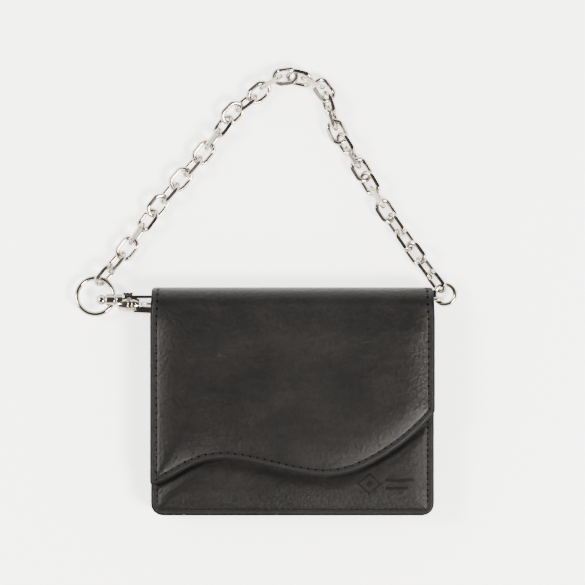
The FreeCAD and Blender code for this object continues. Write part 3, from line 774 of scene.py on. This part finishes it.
# %% Thread material
STRANDS = 5.2 / MM
FLUFF = 4 / MM
thread_material, tree, shader = start_material("waxed_thread")
place = add(tree, "TexCoord").outputs["Object"]
twist = add(tree, "TexNoise", {"Vector": place, "Scale": STRANDS, "Detail": 2.0}).outputs["Fac"]
bump = add(tree, "Bump", {"Strength": 0.5, "Distance": 0.1 * MM, "Height": twist})
finish_material(tree, shader, {"Normal": bump})
shader.inputs["Base Color"].default_value = linear("#060606")
shader.inputs["Roughness"].default_value = 0.55
shader.inputs["Specular IOR Level"].default_value = 0.12
hole_shade_material, tree, shader = start_material("needle_hole_shade")
place = add(tree, "TexCoord").outputs["Object"]
fluff = add(tree, "TexNoise", {"Vector": place, "Scale": FLUFF, "Detail": 2.0}).outputs["Fac"]
hole_shade = add(tree, "MixRGB", {"Fac": fluff, "Color1": linear("#010101"), "Color2": linear("#030303")})
finish_material(tree, shader, {"Base Color": hole_shade})
shader.inputs["Roughness"].default_value = 1.0
shader.inputs["Specular IOR Level"].default_value = 0.0
for piece in (flap_thread, *panel_threads):
    piece.data.materials.append(thread_material)
for piece in (flap_holes, *panel_holes):
    piece.data.materials.append(hole_shade_material)
print(1 + len(panel_threads), "rows of thread dressed")

# %% [markdown]
# ### Polished nickel
# The chain and the snap hook are steel and zinc, tumbled bright and plated with nickel. Nickel is
# slightly warm. Polished metal shows hardly any colour of its own: it mirrors the room, broken up by
# the fine lines that tumbling leaves.

# %% Metal material
WEAR = 0.42 / MM
SCRATCHES = 1.5 / MM
SCRATCH_DEPTH = 0.08 * MM


def metal_material(name, colour, low, high):
    """Metal with a tumbled finish; its roughness runs from low to high."""
    material, tree, shader = start_material(name)
    place = add(tree, "TexCoord").outputs["Object"]
    wear = add(tree, "TexNoise", {
        "Vector": place, "Scale": WEAR, "Detail": 4.0, "Roughness": 0.6,
    }).outputs["Fac"]
    scratches = add(tree, "TexNoise", {
        "Vector": place, "Scale": SCRATCHES, "Detail": 6.0, "Roughness": 0.7,
    }).outputs["Fac"]
    rough = add(tree, "MapRange", {
        "Value": wear, "From Min": 0.3, "From Max": 0.7, "To Min": low, "To Max": high,
    })
    rubbed = add(tree, "MapRange", {
        "Value": wear, "From Min": 0.5, "From Max": 0.8,
    }, interpolation_type="SMOOTHSTEP")
    base = add(tree, "MixRGB", {
        "Fac": rubbed, "Color1": linear(colour[0]), "Color2": linear(colour[1]),
    })
    bump = add(tree, "Bump", {"Strength": 0.12, "Distance": SCRATCH_DEPTH, "Height": scratches})
    finish_material(tree, shader, {"Base Color": base, "Roughness": rough, "Normal": bump})
    shader.inputs["Metallic"].default_value = 1.0
    return material


# %% Dress the metal
nickel = metal_material("polished_nickel", ("#b0a99d", "#9a9388"), 0.07, 0.16)
steel = metal_material("plain_steel", ("#b4b4b6", "#a2a2a4"), 0.25, 0.4)
links = [name for name in nodes if name.startswith("link_")]
dress(links + ["swivel_ring", "swivel_post", "end_ring", "hook_body", "hook_gate"], nickel)
dress(["d_ring_left", "d_ring_right"], nickel)
dress(["snap_plate", "snap_magnet", "gate_pin", "gate_spring"], steel)
print(len(links), "links dressed")

# %% [markdown]
# ### Lining cloth and padding
# The flap and the pockets are lined with a tight black twill. The padding inside the flap is felt.
# The threads of the twill are drawn about 1 mm apart, which is coarser than the real cloth, so that
# the weave shows. The felt has the same pattern a little wider, in place of its matted fibres.

# %% Cloth material


def cloth_material(name, colour, scale):
    """Plain woven cloth: two crossed sets of threads."""
    material, tree, shader = start_material(name)
    place = add(tree, "TexCoord").outputs["Object"]
    warp, weft = [
        add(tree, "TexWave", {
            "Vector": place, "Scale": scale, "Distortion": 0.4,
        }, bands_direction=direction).outputs["Fac"] for direction in ("X", "Y")
    ]
    weave = add(tree, "Math", {0: warp, 1: weft}, operation="MULTIPLY")
    base = add(tree, "MixRGB", {
        "Fac": weave, "Color1": linear(colour[0]), "Color2": linear(colour[1]),
    })
    bump = add(tree, "Bump", {"Strength": 0.5, "Distance": 0.1 * MM, "Height": weave})
    finish_material(tree, shader, {"Base Color": base, "Normal": bump})
    shader.inputs["Roughness"].default_value = 0.85
    shader.inputs["Specular IOR Level"].default_value = 0.15
    shader.inputs["Sheen Weight"].default_value = 0.02
    return material


lining = cloth_material("black_twill", ("#050506", "#101013"), 0.32 / MM)
felt = cloth_material("grey_felt", ("#3a3a3a", "#4a4a4a"), 0.2 / MM)
dress(["back_lining", "front_lining", "flap_lining"], lining)
dress(["flap_filler"], felt)
print("cloth dressed:", lining.name, felt.name)

# %% [markdown]
# ## What moves with what
# The front panel and its seams move with the wallet. The hide and the seam on the flap are baked in
# place and are not attached to any body.

# %% Attach the pieces
for piece in (hide, flap_thread, flap_holes):
    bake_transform(piece)
for piece in (panel, *panel_threads, *panel_holes):
    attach(piece, "wallet")
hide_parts("outer_flap", "outer_back", "flap_filler")
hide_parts("front_panel")

# %% [markdown]
# ## The studio
# The wallet lies on a white table under a wide white tent with a dark gap at the top, where the
# camera looks in. The gap is what makes the upward facets of the chain dark. The table glows a
# little, so that it stays white beside the black leather.

# %% Table
TABLE_GLOW = 1.7
bpy.ops.mesh.primitive_plane_add(size=30, location=(0, 0, 0))
floor = bpy.context.object
floor.name = "table"
table_material, tree, shader = start_material("white_table")
shader.inputs["Base Color"].default_value = linear("#f8f8f8")
shader.inputs["Emission Color"].default_value = linear("#ffffff")
shader.inputs["Emission Strength"].default_value = TABLE_GLOW
shader.inputs["Roughness"].default_value = 0.7
floor.data.materials.append(table_material)
print("table set at z 0")

# %% Tent
TENT_STRENGTH = 4.2
TENT_STOPS = (
    (0.0, (1, 1, 1, 1)),
    (0.36, (1, 1, 1, 1)),
    (0.64, (0.06, 0.056, 0.052, 1)),
    (1.0, (0.02, 0.019, 0.018, 1)),
)
world = bpy.data.worlds.new("studio")
bpy.context.scene.world = world
world.use_nodes = True
tree = world.node_tree
tree.nodes.clear()
direction = add(tree, "TexCoord").outputs["Generated"]
height = add(tree, "SeparateXYZ", {0: direction}).outputs["Z"]
tent = add(tree, "ValToRGB", {"Fac": height})
ramp = tent.color_ramp.elements
while len(ramp) < len(TENT_STOPS):
    ramp.new(0.5)
for stop, (position, colour) in zip(ramp, TENT_STOPS):
    stop.position = position
    stop.color = colour
background = add(tree, "Background", {"Color": tent, "Strength": TENT_STRENGTH})
add(tree, "OutputWorld", {"Surface": background})
print("tent with", len(ramp), "tones")

# %% Lights
WARM = (1.0, 0.95, 0.88)
AIM = Vector((0, 0.04, 0))


def area_light(name, place, size, power):
    """A soft square light that points at the middle of the wallet."""
    bpy.ops.object.light_add(type="AREA", location=place)
    lamp = bpy.context.object
    lamp.name = name
    lamp.data.size = size
    lamp.data.energy = power
    lamp.data.color = WARM
    lamp.rotation_euler = (AIM - Vector(place)).to_track_quat("-Z", "Y").to_euler()
    return lamp


left_light = area_light("left_light", (-1.3, 0.35, 1.3), 0.6, 72)
right_light = area_light("right_light", (0.95, -0.65, 1.4), 0.5, 95)
print("two lights of", left_light.data.energy, "and", right_light.data.energy, "watts")

# %% Camera
CAMERA_HEIGHT = 1.8
CAMERA_Y = 44 * MM
FIELD = 237 * MM
FIELD_HEIGHT = 8 * MM
SENSOR = 36
bpy.ops.object.camera_add(location=(0, CAMERA_Y, CAMERA_HEIGHT), rotation=(0, 0, 0))
camera = bpy.context.object
camera.data.sensor_width = SENSOR
camera.data.lens = SENSOR * (CAMERA_HEIGHT - FIELD_HEIGHT) / FIELD
camera.data.clip_start = 0.05
bpy.context.scene.camera = camera
print("lens", round(camera.data.lens), "mm")

# %% Print the sizes from before
print("size before", [[round(1000 * v, 1) for v in corner] for corner in size_before])
